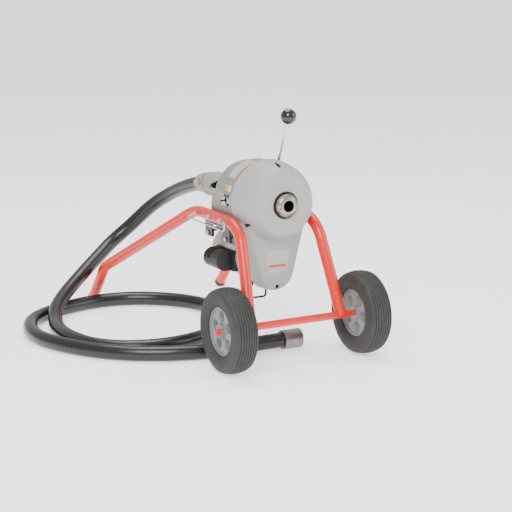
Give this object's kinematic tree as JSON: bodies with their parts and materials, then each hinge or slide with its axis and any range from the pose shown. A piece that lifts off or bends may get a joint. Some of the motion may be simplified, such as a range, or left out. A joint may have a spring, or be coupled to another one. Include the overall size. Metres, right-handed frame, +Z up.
{
  "type": "drain cleaning machine",
  "caption": "Drain snake drive machine on a two-wheeled tube frame with belt guard, hand clutch lever, slung motor, rear hose adapter and a coiled guide hose.",
  "frame": {"origin": "on the floor, under the centre of the rigid machine's bounding box; the guide hose is not counted", "axes": "+Z up, -Y towards the wheels and the cable nose, +Y towards the feet and the guide hose, +X to the right when seen from the front"},
  "size_m": [0.8901, 1.1347, 0.7429],
  "materials": {
    "red_paint": "gloss orange-red paint, light wear",
    "zinc": "zinc-plated steel",
    "black_plastic": "matt black moulded plastic",
    "tyre": "ribbed black rubber",
    "rim_plastic": "mid grey moulded",
    "bush": "plain",
    "cover_grey": "light grey textured moulding",
    "badge": "blank, satin",
    "seal": "black rubber",
    "housing_grey": "grey enamel on a casting",
    "steel_dark": "machined steel",
    "label": "blank brushed label",
    "chrome": "bright plated",
    "belt": "ribbed rubber",
    "black_gloss": "gloss black",
    "motor_silver": "silver-grey paint",
    "copper": "windings and laminations",
    "black_steel": "black painted steel",
    "casting": "grey-beige casting",
    "hose": "gloss black reinforced hose",
    "collar": "machined steel collar"
  },
  "bodies": {
    "machine": {"frame_left_tube": "red_paint", "frame_right_tube": "red_paint", "axle": "red_paint", "axle_washers": "zinc", "axle_caps": "red_paint", "foot_caps": "black_plastic", "front_cover": "cover_grey", "cover_badge": "badge", "cover_screws": "black_steel", "nose_seal": "seal", "drive_plate": "housing_grey", "clutch_housing": "housing_grey", "rail_bolts": "zinc", "rating_plate": "label", "front_bearing": "steel_dark", "rear_bearing": "steel_dark", "drive_belt": "belt", "pivot_shaft": "zinc", "switch_body": "black_plastic", "switch_plate": "label", "base_plate": "housing_grey", "hanger_brackets": "black_steel", "hanger_bolts": "zinc", "motor_cradle": "black_steel", "motor_shell": "motor_silver", "motor_front_bell": "motor_silver", "motor_rear_bell": "motor_silver", "motor_stator": "copper", "capacitor_cover": "black_plastic", "capacitor_mount": "black_plastic", "capacitor": "motor_silver", "lead_glands": "black_plastic", "motor_lead": "seal", "bail_pivots": "zinc", "hose_adapter": "casting", "clamp_cap": "casting", "clamp_bolts": "zinc", "guide_hose": "hose", "hose_collar": "collar"},
    "left_wheel": {"left_tyre": "tyre", "left_rim": "rim_plastic", "left_wheel_bush": "bush"},
    "right_wheel": {"right_tyre": "tyre", "right_rim": "rim_plastic", "right_wheel_bush": "bush"},
    "spindle": {"spindle": "steel_dark", "nose": "chrome", "driven_pulley": "steel_dark"},
    "rotor": {"motor_rotor": "steel_dark", "motor_pulley": "steel_dark", "motor_fan": "black_plastic"},
    "clutch_lever": {"clutch_yoke": "steel_dark", "lever_rod": "chrome", "lever_knob": "black_gloss"},
    "thrust_ring": {"thrust_ring": "steel_dark"},
    "jaw_1": {"clutch_jaw_1": "steel_dark"},
    "jaw_2": {"clutch_jaw_2": "steel_dark"},
    "jaw_3": {"clutch_jaw_3": "steel_dark"},
    "switch_toggle": {"switch_toggle": "black_gloss"},
    "rail_bail": {"rail_bail": "chrome"}
  },
  "joints": [
    {"name": "left_wheel_spin", "type": "hinge", "parent": "machine", "child": "left_wheel", "pos_m": [-0.227, -0.432, 0.127], "axis": [1, 0, 0], "continuous": true},
    {"name": "right_wheel_spin", "type": "hinge", "parent": "machine", "child": "right_wheel", "pos_m": [0.227, -0.432, 0.127], "axis": [1, 0, 0], "continuous": true},
    {"name": "spindle_spin", "type": "hinge", "parent": "machine", "child": "spindle", "pos_m": [0, -0.25, 0.465], "axis": [0, 1, 0], "continuous": true},
    {"name": "motor_spin", "type": "hinge", "parent": "machine", "child": "rotor", "pos_m": [0, -0.15, 0.277], "axis": [0, 1, 0], "continuous": true},
    {"name": "clutch_pull", "type": "hinge", "parent": "machine", "child": "clutch_lever", "pos_m": [0, -0.2235, 0.535], "axis": [-1, 0, 0], "range_deg": [0, 30], "stiffness_Nm_per_rad": 1, "springref_deg": -57.3},
    {"name": "ring_slide", "type": "slide", "parent": "machine", "child": "thrust_ring", "axis": [0, -1, 0], "range_m": [0, 0.02349]},
    {"name": "jaw_1_slide", "type": "slide", "parent": "spindle", "child": "jaw_1", "axis": [0, 0, -1], "range_m": [0, 0.0035]},
    {"name": "jaw_2_slide", "type": "slide", "parent": "spindle", "child": "jaw_2", "axis": [-0.866, 0, 0.5], "range_m": [0, 0.0035]},
    {"name": "jaw_3_slide", "type": "slide", "parent": "spindle", "child": "jaw_3", "axis": [0.866, 0, 0.5], "range_m": [0, 0.0035]},
    {"name": "switch_flip", "type": "hinge", "parent": "machine", "child": "switch_toggle", "pos_m": [-0.109, -0.2, 0.464], "axis": [0, 1, 0], "range_deg": [-15, 15]},
    {"name": "bail_swing", "type": "hinge", "parent": "machine", "child": "rail_bail", "pos_m": [-0.1545, -0.175, 0.408], "axis": [0, 1, 0], "range_deg": [-20, 95]}
  ],
  "couplings": [
    {"joint": "motor_spin", "follows": "spindle_spin", "ratio": 2.4545},
    {"joint": "ring_slide", "follows": "clutch_pull", "m_per_rad": 0.044488},
    {"joint": "jaw_1_slide", "follows": "clutch_pull", "m_per_rad": 0.006494},
    {"joint": "jaw_2_slide", "follows": "clutch_pull", "m_per_rad": 0.006494},
    {"joint": "jaw_3_slide", "follows": "clutch_pull", "m_per_rad": 0.006494}
  ]
}
